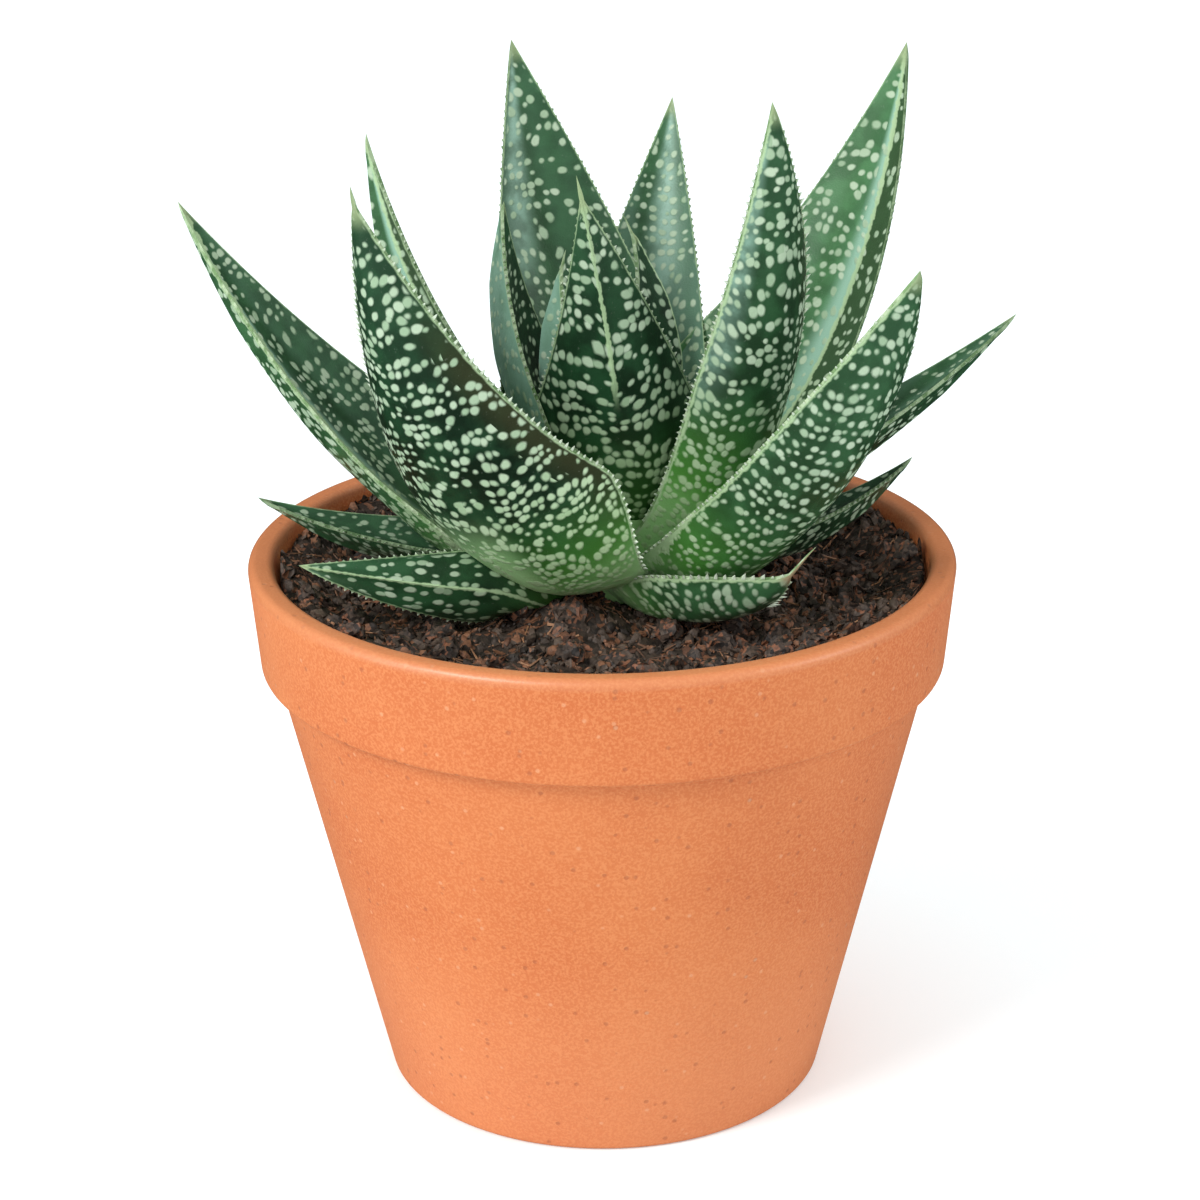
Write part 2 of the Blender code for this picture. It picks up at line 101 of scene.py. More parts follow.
# From the middle of the rosette outwards. Near the crown the leaves run into each other.
LEAVES = {
    "leaf_centre": dict(
        heading=280, out=0.004, up=0.012, rise=68, reach=0.030, tip=(-0.004, -0.019, 0.177),
        width=0.034, cup=0.25, taper=1.05, keel_width=0.2,
        keel_line=0.0012, deep=0.95, spots=0.88, spot_size=0.00076, spot_long=1.15, glow=0.3,
        teeth=0.0006, spike=0.05),
    "leaf_young_right": dict(
        heading=345, out=0.004, up=0.015, rise=62, reach=0.026, tip=(0.004, -0.002, 0.166),
        width=0.028, foot=0.5, peak=0.4, thick=0.003,
        keel_line=0.0006, deep=1.0, spots=0.7, spike=0.06),
    "leaf_young_left": dict(
        heading=190, out=0.004, up=0.016, rise=65, reach=0.022, tip=(-0.006, -0.007, 0.161),
        width=0.020, thick=0.003, cup=0.2, blue=0.9, upper_blue=0.9, deep=0.2, upper_deep=0.2,
        sheen=0.55, sheen_skin=LOWER, sheen_wide=3.0, sheen_from=0.1, spots=0.7,
        spot_size=0.0006, upper_spots=0.4, edge_pale=0.9, spike=0.06),
    "leaf_inner_left": dict(
        heading=165, out=0.005, up=0.014, rise=55, reach=0.026, tip=(-0.017, 0.002, 0.1675),
        width=0.029, cup=0.2, roll=8, blue=1.0, deep=0.1, upper_blue=0.0, upper_deep=1.0,
        sheen=0.65, sheen_skin=LOWER, sheen_wide=3.0, sheen_from=0.1,
        spots=0.70, upper_spots=0.75, spot_size=0.0006, edge_pale=0.8),
    "leaf_inner_right": dict(
        heading=335, face=-35, out=0.011, up=0.008, rise=50, reach=0.038,
        tip=(0.029, -0.022, 0.190), width=0.0215, foot=0.8, peak=0.4, taper=1.5, thick=0.006,
        cup=0.2, keel=0.0006, keel_width=0.8, minus_band=0.0005, glow=1.0, glow_reach=0.46,
        mint=0.9, mint_reach=0.22, spots=0.98, spot_size=0.00076, spacing=0.92, brown=0.4,
        teeth=0.0010, edge_pale=0.9, sheen=0.7, sheen_skin=LOWER, sheen_at=-0.9,
        sheen_from=0.30),
    "leaf_inner_front_left": dict(
        heading=195, out=0.0065, up=0.011, rise=40, reach=0.036, tip=(-0.040, -0.012, 0.183),
        cup=0.2, roll=8, deep=0.45, upper_deep=0.8, upper_spots=0.7, ridge_skin=LOWER,
        ridge_at=0.72, ridge_sheen=0.9, ridge_shade_beyond=0.9, teeth=0.0006),
    "leaf_tall_back": dict(
        heading=108, out=0.005, up=0.012, rise=60, reach=0.032, tip=(-0.016, 0.030, 0.191),
        width=0.035, cup=0.2, upper_blue=0.10, upper_spots=0.60, upper_deep=0.70, teeth=0.0004,
        spot_size=0.00080, sheen=0.8, sheen_at=0.62, sheen_wide=0.45, sheen_from=0.40),
    "leaf_back_right": dict(
        heading=80, out=0.008, up=0.008, rise=42, reach=0.032, tip=(0.014, 0.048, 0.1765),
        width=0.029, cup=0.2, upper_blue=0.45, upper_spots=0.98, upper_deep=0.60, teeth=0.0004,
        spot_size=0.00076, sheen=0.8, sheen_at=-0.15, sheen_wide=0.6, sheen_from=0.15),
    "leaf_bud": dict(
        heading=95, out=0.001, up=0.017, rise=85, reach=0.014, tip=(0.003, -0.002, 0.147),
        width=0.015, foot=0.9, peak=0.3, thick=0.004),
    "leaf_tall_right": dict(
        heading=28, out=0.007, up=0.010, rise=28, reach=0.044, tip=(0.056, 0.025, 0.191),
        width=0.042, foot=0.55, thick=0.006, cup=0.2, roll=12, upper_blue=0.1, glow=1.0,
        upper_deep=0.10, upper_spots=0.78, spot_long=1.1, spacing=1.05,
        ridge_skin=UPPER, ridge_side=-1, ridge_at=0.42, ridge_line=0.0013, ridge_sheen=1.0,
        ridge_sheen_wide=0.38, ridge_shade_beyond=0.85, teeth=0.0004, edge_pale=0.4),
    "leaf_front_left": dict(
        heading=226, out=0.009, up=0.0055, rise=10, reach=0.035, tip=(-0.041, -0.038, 0.180),
        width=0.046, foot=0.50, peak=0.32, lean=0.0058, mint_side=1.0, thick=0.0060,
        foot_thick=0.4, foot_cup=0.4, roll=10, taper=1.1, keel=0.0, spots=0.90,
        spot_size=0.00067, spot_long=1.12, spacing=0.86, brown=0.9, deep=1.0, glow=0.8,
        glow_reach=0.36, mint=0.9, teeth=0.0012, crowd=0.7, edge_pale=0.8, spike=0.03),
    "leaf_front_right": dict(
        heading=318, face=-15, out=0.009, up=0.0035, rise=22, reach=0.044,
        tip=(0.053, -0.038, 0.165), width=0.027, foot=0.72, peak=0.5, taper=1.9, thick=0.007,
        cup=0.2, foot_cup=0.4, keel=0.0006, keel_width=0.8, minus_band=0.0005, glow=1.0,
        glow_reach=0.45, mint=1.0, mint_reach=0.22, deep=0.72, spots=1.1, spot_size=0.00060,
        spot_long=1.15, spacing=0.86, crowd=0.25, foot_band=0.003, teeth=0.0009, edge_pale=1.0),
    "leaf_left": dict(
        heading=170, out=0.009, up=0.0005, rise=24, reach=0.042, tip=(-0.076, 0.010, 0.166),
        width=0.031, foot=0.95, thick=0.007, foot_cup=0.3, cup=0.15, roll=-10, keel_at=0.5,
        foot_band=0.0055, mint=0.9, mint_reach=0.30, upper_blue=0.15, upper_spots=0.7,
        upper_deep=0.72, deep=0.5, glow=0.8, spots=0.95, spot_size=0.00086, ridge_skin=UPPER,
        ridge_at=0.97, ridge_line=0.0026, ridge_sheen=0.8, teeth=0.0003, edge_pale=1.0,
        plus_band=0.0007),
    "leaf_right": dict(
        heading=8, out=0.009, up=0.008, rise=14, reach=0.028, tip=(0.076, 0.010, 0.144),
        width=0.023, thick=0.004, cup=0.2, upper_blue=0.35, upper_deep=0.6, teeth=0.0004,
        spot_size=0.0007),
    "leaf_low_back_2": dict(
        heading=105, out=0.009, up=0.006, rise=14, reach=0.028, tip=(-0.014, 0.046, 0.117),
        foot=0.6),
    "leaf_low_back_4": dict(
        heading=40, out=0.009, up=0.006, rise=10, reach=0.030, tip=(0.048, 0.036, 0.112),
        foot=0.6),
    "leaf_low_back_1": dict(
        heading=136, out=0.009, up=0.003, rise=8, reach=0.030, tip=(-0.046, 0.040, 0.114),
        foot=0.6),
    "leaf_low_back_3": dict(
        heading=72, out=0.009, up=0.003, rise=10, reach=0.028, tip=(0.020, 0.045, 0.118),
        foot=0.6),
    "leaf_low_left": dict(
        heading=178, out=0.009, up=0.003, rise=3, reach=0.030, tip=(-0.063, 0.000, 0.113),
        width=0.023, thick=0.0045, cup=0.2, deep=0.75, upper_deep=0.7, upper_blue=0.1,
        teeth=0.0005, edge_pale=0.4, spot_white=0.8),
    "leaf_low_right": dict(
        heading=5, out=0.009, up=0.003, rise=0, reach=0.024, tip=(0.058, 0.012, 0.116),
        width=0.020, thick=0.004, cup=0.2, deep=0.9, upper_deep=0.85, upper_blue=0.1,
        upper_spots=0.5, edge_pale=0.4),
    "leaf_low_front_left": dict(
        heading=228, out=0.009, up=0.0025, rise=9, reach=0.031, tip=(-0.054, -0.020, 0.107),
        width=0.013, thick=0.0045, cup=0.1, roll=75, peak=0.4, foot=0.6, keel_line=0.0007,
        keel_from=0.02, deep=0.85, upper_deep=0.85, spots=0.9, spot_size=0.00092,
        spot_long=0.65, crowd=0.2, spot_white=0.78, teeth=0.0005, crown_cut=True),
    "leaf_low_front_right": dict(
        heading=300, out=0.009, up=0.002, rise=5, reach=0.029, tip=(0.037, -0.034, 0.115),
        width=0.0185, thick=0.0045, keel=0.0005, cup=0.2, roll=-15, peak=0.5, foot=0.9,
        glow=1.0, mint=1.0, mint_reach=0.30, deep=0.6, spots=0.95, spot_long=1.5,
        spot_size=0.00068, teeth=0.0018, minus_band=0.0006, edge_pale=1.0, taper=2.0, spike=0.12,
        dry=1.0, sag=0.0025),
}


def smooth(x):
    """Goes from 0 to 1 with no corner at either end."""
    x = min(1.0, max(0.0, x))
    return x * x * (3.0 - 2.0 * x)


def shake(place):
    """A vector of noise that is the same in every run, which noise_vector's is not."""
    return Vector([
        noise.noise(place + Vector((17.3 * axis, 5.9 * axis, 0.0))) for axis in range(3)])


# Pieces


def finished(name, bm, materials):
    """Makes the mesh a piece at the origin, with smooth faces."""
    mesh = bpy.data.meshes.new(name)
    bm.to_mesh(mesh)
    bm.free()
    for material in materials:
        mesh.materials.append(material)
    mesh.shade_smooth()
    piece = bpy.data.objects.new(name, mesh)
    bpy.context.scene.collection.objects.link(piece)
    return piece


def dress(piece, slot, *nodes):
    if nodes:
        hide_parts(*nodes)
    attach(piece, "root")


def turned(profile, sides, centre=(0.0, 0.0), closed=False):
    """Spins a profile of (radius, height) points once round the upright line at centre."""
    bm = bmesh.new()
    verts = [bm.verts.new((centre[0] + r, centre[1], z)) for r, z in profile]
    edges = [bm.edges.new(pair) for pair in zip(verts, verts[1:])]
    if closed:
        edges.append(bm.edges.new((verts[-1], verts[0])))
    bmesh.ops.spin(
        bm, geom=verts + edges, cent=(centre[0], centre[1], 0.0), axis=(0.0, 0.0, 1.0),
        angle=math.tau, steps=sides, use_merge=True)
    bmesh.ops.remove_doubles(bm, verts=bm.verts, dist=0.000001)
    bmesh.ops.recalc_face_normals(bm, faces=bm.faces)
    return bm


def arc(centre, radius, start, end, steps):
    """Points on part of a circle, angles in degrees."""
    points = []
    for step in range(steps + 1):
        angle = math.radians(start + (end - start) * step / steps)
        points.append((
            centre[0] + radius * math.cos(angle), centre[1] + radius * math.sin(angle)))
    return points


def line(start, end, steps):
    """Points after start, up to end."""
    return [
        tuple(a + (b - a) * n / steps for a, b in zip(start, end))
        for n in range(1, steps + 1)]


def build_pot(material):
    lip, foot, band, nook = 0.0016, 0.0012, 0.0010, 0.0008    # radii of the rounded corners
    under_z = RIM_FOOT_Z
    profile = [(DRAIN_RADIUS, 0.0)]
    profile += line(profile[-1], (BASE_RADIUS - foot, 0.0), 8)
    profile += arc((BASE_RADIUS - foot, foot), foot, -80, -10, 5)
    profile += line(profile[-1], (BODY_TOP_RADIUS, under_z - nook), 30)
    profile += arc((BODY_TOP_RADIUS + nook, under_z - nook), nook, 170, 95, 4)
    profile += arc((RIM_FOOT_RADIUS - band, under_z + band), band, -90, -5, 6)
    profile += line(profile[-1], (RIM_RADIUS, POT_HEIGHT - lip), 10)
    profile += arc((RIM_RADIUS - lip, POT_HEIGHT - lip), lip, 10, 90, 6)
    profile += arc((RIM_INNER_RADIUS + lip, POT_HEIGHT - lip), lip, 90, 175, 6)
    profile += line(profile[-1], (WALL_INNER_RADIUS, under_z), 10)
    profile += line(profile[-1], (FLOOR_INNER_RADIUS, FLOOR_THICKNESS), 16)
    profile += line(profile[-1], (DRAIN_RADIUS, FLOOR_THICKNESS), 6)
    bm = turned(profile, POT_SIDES, closed=True)
    pot = finished("clay_pot", bm, [material])
    pot.data.set_sharp_from_angle(angle=math.radians(60))
    dress(pot, "terracotta", "pot")


def pot_inner_radius(z):
    share = (z - RIM_FOOT_Z) / (POT_HEIGHT - RIM_FOOT_Z)
    return WALL_INNER_RADIUS + share * (RIM_INNER_RADIUS - WALL_INNER_RADIUS)


def soil_height(x, y):
    """The soil's own lie: a slope up to the wall, hollows and clods, and a heap in front."""
    r = math.hypot(x, y)
    wall = pot_inner_radius(SOIL_TOP)
    slope = smooth((r - SOIL_SLOPE_START) / (wall - SOIL_SLOPE_START))
    place = Vector((x, y, 0.0))
    clods = 1.2 * noise.noise(place / 0.0110) + 1.3 * noise.noise(place / 0.0042)
    heap = math.exp(-((x + 0.004) / 0.012) ** 2 - ((y + 0.022) / 0.0065) ** 2)
    return SOIL_TOP + slope * (SOIL_TOP_AT_WALL - SOIL_TOP) + clods * MM + 5.0 * MM * heap


def build_soil(material):
    wall = pot_inner_radius(SOIL_TOP_AT_WALL) - GAP
    profile = [
        (0.0, FLOOR_THICKNESS + GAP), (FLOOR_INNER_RADIUS - GAP, FLOOR_THICKNESS + GAP),
        (WALL_INNER_RADIUS - GAP, RIM_FOOT_Z)]
    profile += [
        (wall * (1.0 - ring / SOIL_RINGS), SOIL_TOP_AT_WALL) for ring in range(SOIL_RINGS + 1)]
    bm = turned(profile, SOIL_SIDES)
    for vert in bm.verts:
        if vert.co.z > SOIL_TOP_AT_WALL - GAP:
            place = Vector((vert.co.x, vert.co.y, 0.0))
            grains = 0.5 * noise.noise(place / 0.0018)
            vert.co.z = soil_height(vert.co.x, vert.co.y) + grains * MM
    soil = finished("soil_body", bm, [material])
    dress(soil, "soil", "soil")


def lie(rng, spread, lift, tilt):
    """A random place and turn on the flat, for one crumb of a clump."""
    return (
        Matrix.Translation((
            rng.uniform(-spread, spread), rng.uniform(-spread, spread),
            lift * rng.uniform(-0.1, 0.6)))
        @ Matrix.Rotation(rng.uniform(0.0, math.tau), 4, "Z")
        @ Matrix.Rotation(rng.uniform(-tilt, tilt), 4, "Y"))


def add_lump(bm, rng, spread, lift, tilt, radius, shape, shakes, subdivisions=1):
    """A ball squashed by shape and roughened by shakes, each a grain size and a depth."""
    verts = bmesh.ops.create_icosphere(
        bm, subdivisions=subdivisions, radius=radius,
        matrix=lie(rng, spread, lift, tilt) @ Matrix.Diagonal((*shape, 1.0)))["verts"]
    for vert in verts:
        for grain, depth in shakes:
            vert.co += shake(vert.co / grain) * depth


def crumb_clump(rng, spread):
    bm = bmesh.new()
    for number in range(64):
        radius = rng.uniform(0.26, 0.55) * MM if number % 6 else rng.uniform(0.65, 1.15) * MM
        shape = (rng.uniform(0.8, 1.5), rng.uniform(0.7, 1.0), rng.uniform(0.6, 1.0))
        add_lump(bm, rng, spread, radius, 0.8, radius, shape, [(0.0007, 0.6 * radius)])
    return bm


def fibre_clump(rng, spread):
    """Slivers of bark and coir, thicker at one end."""
    bm = bmesh.new()
    for _ in range(26):
        thick = rng.uniform(0.10, 0.28) * MM
        length = rng.uniform(1.2, 4.2) * MM
        bmesh.ops.create_cone(
            bm, cap_ends=True, segments=4, radius1=thick, radius2=thick * 0.4, depth=length,
            matrix=lie(rng, spread, 3.0 * thick, 0.35) @ Matrix.Rotation(math.pi / 2, 4, "Y"))
    return bm


def chip_clump(rng, spread):
    """Flat broken flakes of bark."""
    bm = bmesh.new()
    for _ in range(9):
        size = rng.uniform(0.8, 1.9) * MM
        shape = (size, size * rng.uniform(0.45, 0.8), size * 0.28)
        add_lump(bm, rng, spread, size * 0.4, 0.6, 0.75, shape, [(0.0011, 0.30 * size)])
    return bm


def clod_clump(rng, spread):
    """Clods of soil stuck together."""
    bm = bmesh.new()
    for _ in range(3):
        radius = rng.uniform(1.6, 3.3) * MM
        shape = (rng.uniform(0.9, 1.3), rng.uniform(0.8, 1.0), rng.uniform(0.6, 0.8))
        add_lump(
            bm, rng, spread, radius * 0.6, 0.5, radius, shape,
            [(0.0011, 0.42 * radius), (0.00035, 0.16 * MM)], subdivisions=3)
    return bm


def only_verts(items):
    return [item for item in items if isinstance(item, bmesh.types.BMVert)]


def scatter(name, material, seed, clumps, make_clump):
    """Lays turned copies of one clump all over the soil, down on its own hollows and heaps."""
    rng = random.Random(seed)
    bm = make_clump(rng, CLUMP_SPREAD)
    first = list(bm.verts) + list(bm.edges) + list(bm.faces)
    reach = pot_inner_radius(SOIL_TOP_AT_WALL) - 0.5 * MM
    for number in range(clumps):
        copy = bmesh.ops.duplicate(bm, geom=first)["geom"]
        verts = only_verts(copy)
        r = (reach + 0.002) * math.sqrt((number + 0.5) / clumps)
        angle = number * GOLDEN_ANGLE + rng.uniform(-0.1, 0.1)
        bmesh.ops.rotate(
            bm, verts=verts, cent=(0.0, 0.0, 0.0),
            matrix=Matrix.Rotation(rng.uniform(0, math.tau), 3, "Z"))
        bmesh.ops.translate(bm, verts=verts, vec=(r * math.cos(angle), r * math.sin(angle), 0.0))
    bmesh.ops.delete(bm, geom=only_verts(first), context="VERTS")
    for vert in bm.verts:
        r = math.hypot(vert.co.x, vert.co.y)
        if r > reach:
            vert.co.x *= reach / r
            vert.co.y *= reach / r
        vert.co.z += soil_height(vert.co.x, vert.co.y)
    piece = finished(name, bm, [material])
    piece.data.set_sharp_from_angle(angle=math.radians(50))
    dress(piece, "soil")


def crown_profile(grow=0.0):
    points = []
    for step in range(CROWN_STEPS):
        angle = math.pi / 2 * step / CROWN_STEPS
        points.append((
            (CROWN_RADIUS + grow) * math.cos(angle) ** 0.9,
            CROWN_BASE + (CROWN_HEIGHT + grow) * math.sin(angle)))
    points.append((0.0, CROWN_BASE + CROWN_HEIGHT + grow))
    return points


def build_stem(material):
    profile = [
        (0.0, STEM_FOOT), (STEM_RADIUS, STEM_FOOT), (STEM_RADIUS, CROWN_BASE - 0.0010),
        (CROWN_RADIUS - 0.0015, CROWN_BASE - 0.0010)]
    bm = turned(profile + crown_profile(), STEM_SIDES, STEM_CENTRE)
    stem = finished("short_stem", bm, [material])
    dress(stem, "stem", "stem")


# Leaves


def midline(leaf, steps=60):
    """Points and directions along the leaf's curve, and how far along each is."""
    angle = math.radians(leaf["heading"])
    rise = math.radians(leaf["rise"])
    way = Vector((math.cos(angle), math.sin(angle), 0.0))
    foot = Vector((*STEM_CENTRE, CROWN_BASE + leaf["up"])) + way * leaf["out"]
    bend = foot + leaf["reach"] * (way * math.cos(rise) + Vector((0.0, 0.0, math.sin(rise))))
    tip = Vector(leaf["tip"])
    points, directions, runs = [], [], []
    for step in range(steps + 1):
        t = step / steps
        points.append((1 - t) ** 2 * foot + 2 * t * (1 - t) * bend + t ** 2 * tip)
        directions.append(((1 - t) * (bend - foot) + t * (tip - bend)).normalized())
        runs.append(0.0 if step == 0 else runs[-1] + (points[-1] - points[-2]).length)
    return points, directions, runs


def place_on_leaf(leaf, curve, u):
    """The point at share u of the leaf's length, with its directions along, across and up."""
    points, directions, runs = curve
    run = u * runs[-1]
    i = next(n for n in range(len(runs) - 1) if runs[n + 1] >= run - 1e-9)
    share = (run - runs[i]) / (runs[i + 1] - runs[i])
    point = points[i].lerp(points[i + 1], share)
    along = directions[i].lerp(directions[i + 1], share).normalized()
    angle = math.radians(leaf["heading"] + leaf["face"])
    inward = Vector((-math.cos(angle), -math.sin(angle), 1.0))
    up = (inward - along * inward.dot(along)).normalized()
    across = up.cross(along)
    roll = math.radians(leaf["roll"]) * smooth(u / 0.4)
    sag = leaf["sag"] * smooth(u / 0.8) * (1.0 - smooth((u - 0.8) / 0.2))
    point = point - Vector((0.0, 0.0, sag))
    return (
        point, along,
        across * math.cos(roll) + up * math.sin(roll),
        up * math.cos(roll) - across * math.sin(roll))


def half_width(leaf, u):
    if leaf["spike"]:
        thin = 0.0004 * min(1.0, (1.0 - u) / leaf["spike"])
        u = min(1.0, u / (1.0 - leaf["spike"]))
        return max(thin, half_width({**leaf, "spike": 0.0}, u))
    peak = leaf["peak"]
    if u < peak:
        share = leaf["foot"] + (1.0 - leaf["foot"]) * math.sin(math.pi / 2 * u / peak)
    else:
        share = 1.0 - ((u - peak) / (1.0 - peak)) ** leaf["taper"]
    return leaf["width"] / 2 * share


def section_columns():
    """Once round a leaf's section, from the middle of its lower skin: share across, and skin."""
    half = LOWER_STEPS // 2
    columns = [(math.sin(math.pi / 2 * n / half), LOWER) for n in range(half + 1)]
    columns += [
        (math.sin(math.pi / 2 * (1 - 2 * n / UPPER_STEPS)), UPPER)
        for n in range(UPPER_STEPS + 1)]
    columns += [(-math.sin(math.pi / 2 * (1 - n / half)), LOWER) for n in range(half + 1)]
    return columns


def section_points(leaf, u, columns):
    """(across, up) for each column at share u of the leaf's length."""
    half = half_width(leaf, u)
    end = max(0.0, 1.0 - u / (1.0 - leaf["spike"]))
    swell = leaf["foot_thick"] + (1.0 - leaf["foot_thick"]) * smooth(u / 0.15)
    edge = min(EDGE_THICKNESS, 0.5 * half + 0.00015)
    thick = max(1.1 * edge, leaf["thick"] * swell * min(1.0, end / 0.75) ** 0.8)
    open_up = leaf["foot_cup"] + (1.0 - leaf["foot_cup"]) * smooth(u / 0.35)
    cup = 2.0 * leaf["cup"] * half * (1.0 - 0.6 * u) * open_up
    keel = leaf["keel"] * smooth((u - 0.3) / 0.25) * min(1.0, end / 0.25)
    lean = leaf["lean"] * (1.0 - smooth(u / 0.45))
    points = []
    for across, skin in columns:
        height = 0.0
        if skin == LOWER:
            height -= edge + (thick - edge) * (1.0 - abs(across) ** 2.2)
            off = abs(across - leaf["keel_at"]) / leaf["keel_width"]
            height -= keel * max(0.0, 1.0 - off) ** 1.5
        points.append((across * half + lean, cup * across ** 2 + height))
    return points


def leaf_mesh(leaf):
    """A blade shaped from a grid rolled into a tube, with a point for its tip.

    The foot end, which the rosette hides, keeps open edges in all leaves but one.
    """
    curve = midline(leaf)
    length = curve[2][-1]
    rows = round(length / ROW_PITCH)
    columns = section_columns()
    wide = len(columns)
    first = LOWER_STEPS // 2
    last = first + UPPER_STEPS + 2

    bm = bmesh.new()
    verts = bmesh.ops.create_grid(bm, x_segments=wide - 1, y_segments=rows - 1, size=0.1)["verts"]
    verts.sort(key=lambda vert: (round(vert.co.y, 6), vert.co.x))
    blade = bm.loops.layers.uv.new("blade")
    edge_map = bm.loops.layers.uv.new("edge")
    row_layer = bm.faces.layers.int.new("row")
    flat = {}
    for row in range(rows):
        u = 0.992 * row / (rows - 1)
        point, _, across, up = place_on_leaf(leaf, curve, u)
        section = section_points(leaf, u, columns)
        runs = [0.0]
        for a, b in zip(section, section[1:]):
            runs.append(runs[-1] + math.hypot(b[0] - a[0], b[1] - a[1]))
        for column, (x, z) in enumerate(section):
            vert = verts[row * wide + column]
            vert.co = point + across * x + up * z
            flat[vert] = (row, column, runs, u)
    for face in bm.faces:
        spots = [flat[vert] for vert in face.verts]
        left = min(spot[1] for spot in spots)
        skins = {columns[left][1], columns[left + 1][1]}
        face.material_index = EDGE if len(skins) == 2 else skins.pop()
        face[row_layer] = min(spot[0] for spot in spots)
        for loop, (row, column, runs, u) in zip(face.loops, spots):
            if face.material_index == UPPER:
                middle = (runs[first + 1] + runs[last - 1]) / 2
                side = middle - runs[column]
                from_edge = min(runs[column] - runs[first + 1], runs[last - 1] - runs[column])
            elif column <= first or (face.material_index == EDGE and column <= first + 1):
                side = runs[column]
                from_edge = abs(runs[first] - runs[column])
            else:
                side = runs[column] - runs[-1]
                from_edge = abs(runs[column] - runs[last])
            loop[blade].uv = (side, u * length)
            loop[edge_map].uv = (from_edge, u)
    bmesh.ops.remove_doubles(bm, verts=bm.verts, dist=0.000001)
    end = [vert for vert in bm.verts if vert in flat and flat[vert][0] == rows - 1]
    bmesh.ops.contextual_create(bm, geom=end)
    foot = [vert for vert in bm.verts if vert in flat and flat[vert][0] == 0]
    bmesh.ops.contextual_create(bm, geom=foot)
    bmesh.ops.pointmerge(bm, verts=end, merge_co=Vector(leaf["tip"]))
    bmesh.ops.recalc_face_normals(bm, faces=bm.faces)
    return bm, curve


def add_teeth(bm, leaf, curve, rng):
    """Raises a small tooth on every other face of the leaf's edge, leaning towards the tip."""
    row_layer = bm.faces.layers.int["row"]
    edge_map = bm.loops.layers.uv["edge"]
    rows = max(face[row_layer] for face in bm.faces) + 1
    edge = [face for face in bm.faces if face.material_index == EDGE and len(face.verts) == 4]
    end = min(0.95, 0.98 - leaf["spike"])
    bearing = [
        face for face in edge if face[row_layer] % 2 and 0.05 < face[row_layer] / rows < end]
    for vert in bmesh.ops.poke(bm, faces=bearing)["verts"]:
        u = vert.link_faces[0][row_layer] / rows
        along = place_on_leaf(leaf, curve, u)[1]
        outward = Vector()
        for face in vert.link_faces:
            face.normal_update()
            outward += face.normal
        fade = min(1.0, (1.02 - leaf["spike"] - u) / 0.2)
        height = leaf["teeth"] * rng.uniform(0.5, 1.2) * fade
        vert.co += height * (outward.normalized() + 0.35 * along)
        for loop in vert.link_loops:
            loop[edge_map].uv.x = -height


def pieces_of(bm):
    """The faces of each part of the mesh that hangs together."""
    found, seen = [], set()
    for start in bm.faces:
        if start in seen:
            continue
        seen.add(start)
        part = [start]
        for face in part:
            for edge in face.edges:
                for other in edge.link_faces:
                    if other not in seen:
                        seen.add(other)
                        part.append(other)
        found.append(part)
    return found


def cut_out(piece, room):
    """Cuts a room out of a leaf whose mesh is closed, and keeps the largest part."""
    cut = piece.modifiers.new("room", "BOOLEAN")
    cut.operation = "DIFFERENCE"
    cut.solver = "MANIFOLD"
    cut.object = room
    depsgraph = bpy.context.evaluated_depsgraph_get()
    mesh = bpy.data.meshes.new_from_object(piece.evaluated_get(depsgraph))
    piece.modifiers.clear()
    piece.data = mesh
    bm = bmesh.new()
    bm.from_mesh(mesh)
    parts = pieces_of(bm)
    parts.sort(key=lambda faces: sum(face.calc_area() for face in faces))
    loose = [face for faces in parts[:-1] for face in faces]
    bmesh.ops.delete(bm, geom=loose, context="FACES")
    bm.to_mesh(mesh)
    bm.free()
    mesh.shade_smooth()


def build_leaves():
    rng = random.Random(7)
    under = CROWN_BASE - 0.008
    profile = [(0.0, under), (CROWN_RADIUS + GAP, under)] + crown_profile(GAP)
    crown_room = finished("crown_room", turned(profile, STEM_SIDES, STEM_CENTRE), [])
    for number, (name, own) in enumerate(LEAVES.items()):
        leaf = {**USUAL, **own}
        bm, curve = leaf_mesh(leaf)
        add_teeth(bm, leaf, curve, rng)
        bmesh.ops.triangulate(bm, faces=bm.faces)
        skins = [leaf_skin(name, leaf, UPPER, number), leaf_skin(name, leaf, LOWER, number)]
        piece = finished(name.replace("leaf_", "blade_"), bm, skins + [leaf_edge(name, leaf)])
        if leaf["crown_cut"]:
            cut_out(piece, crown_room)
        piece.data.set_sharp_from_angle(angle=math.radians(40))
        dress(piece, "leaf", name)
    bpy.data.objects.remove(crown_room, do_unlink=True)


# Materials

# A leaf's colours. Where there are two, a leaf's own value says how far from the first.
DARK_GREENS = ((0.040, 0.135, 0.042), (0.0030, 0.0170, 0.0060))
MID_GREENS = ((0.072, 0.220, 0.078), (0.0085, 0.045, 0.016))
# Painted light on the upper leaf, towards the tip.
LIT_TIP_GREEN = (0.050, 0.150, 0.070)
# Painted glow: light shining through the foot of the leaf.
FOOT_GLOW_GREEN = (0.075, 0.270, 0.034)
# The foot's pale mint, painted paler to stand in for light on the shaded foot.
LIT_MINT = (0.360, 0.620, 0.280)
# Painted sheen: bluish streaks standing in for reflected light.
BLUE_SHEEN = (0.180, 0.335, 0.245)
# Painted sheen: a soft bluish reflection down one skin.
SHEEN = (0.265, 0.445, 0.355)
BROWN = (0.034, 0.038, 0.012)
# Painted sheen: bluish, before a ridge line.
RIDGE_SHEEN = (0.270, 0.470, 0.350)
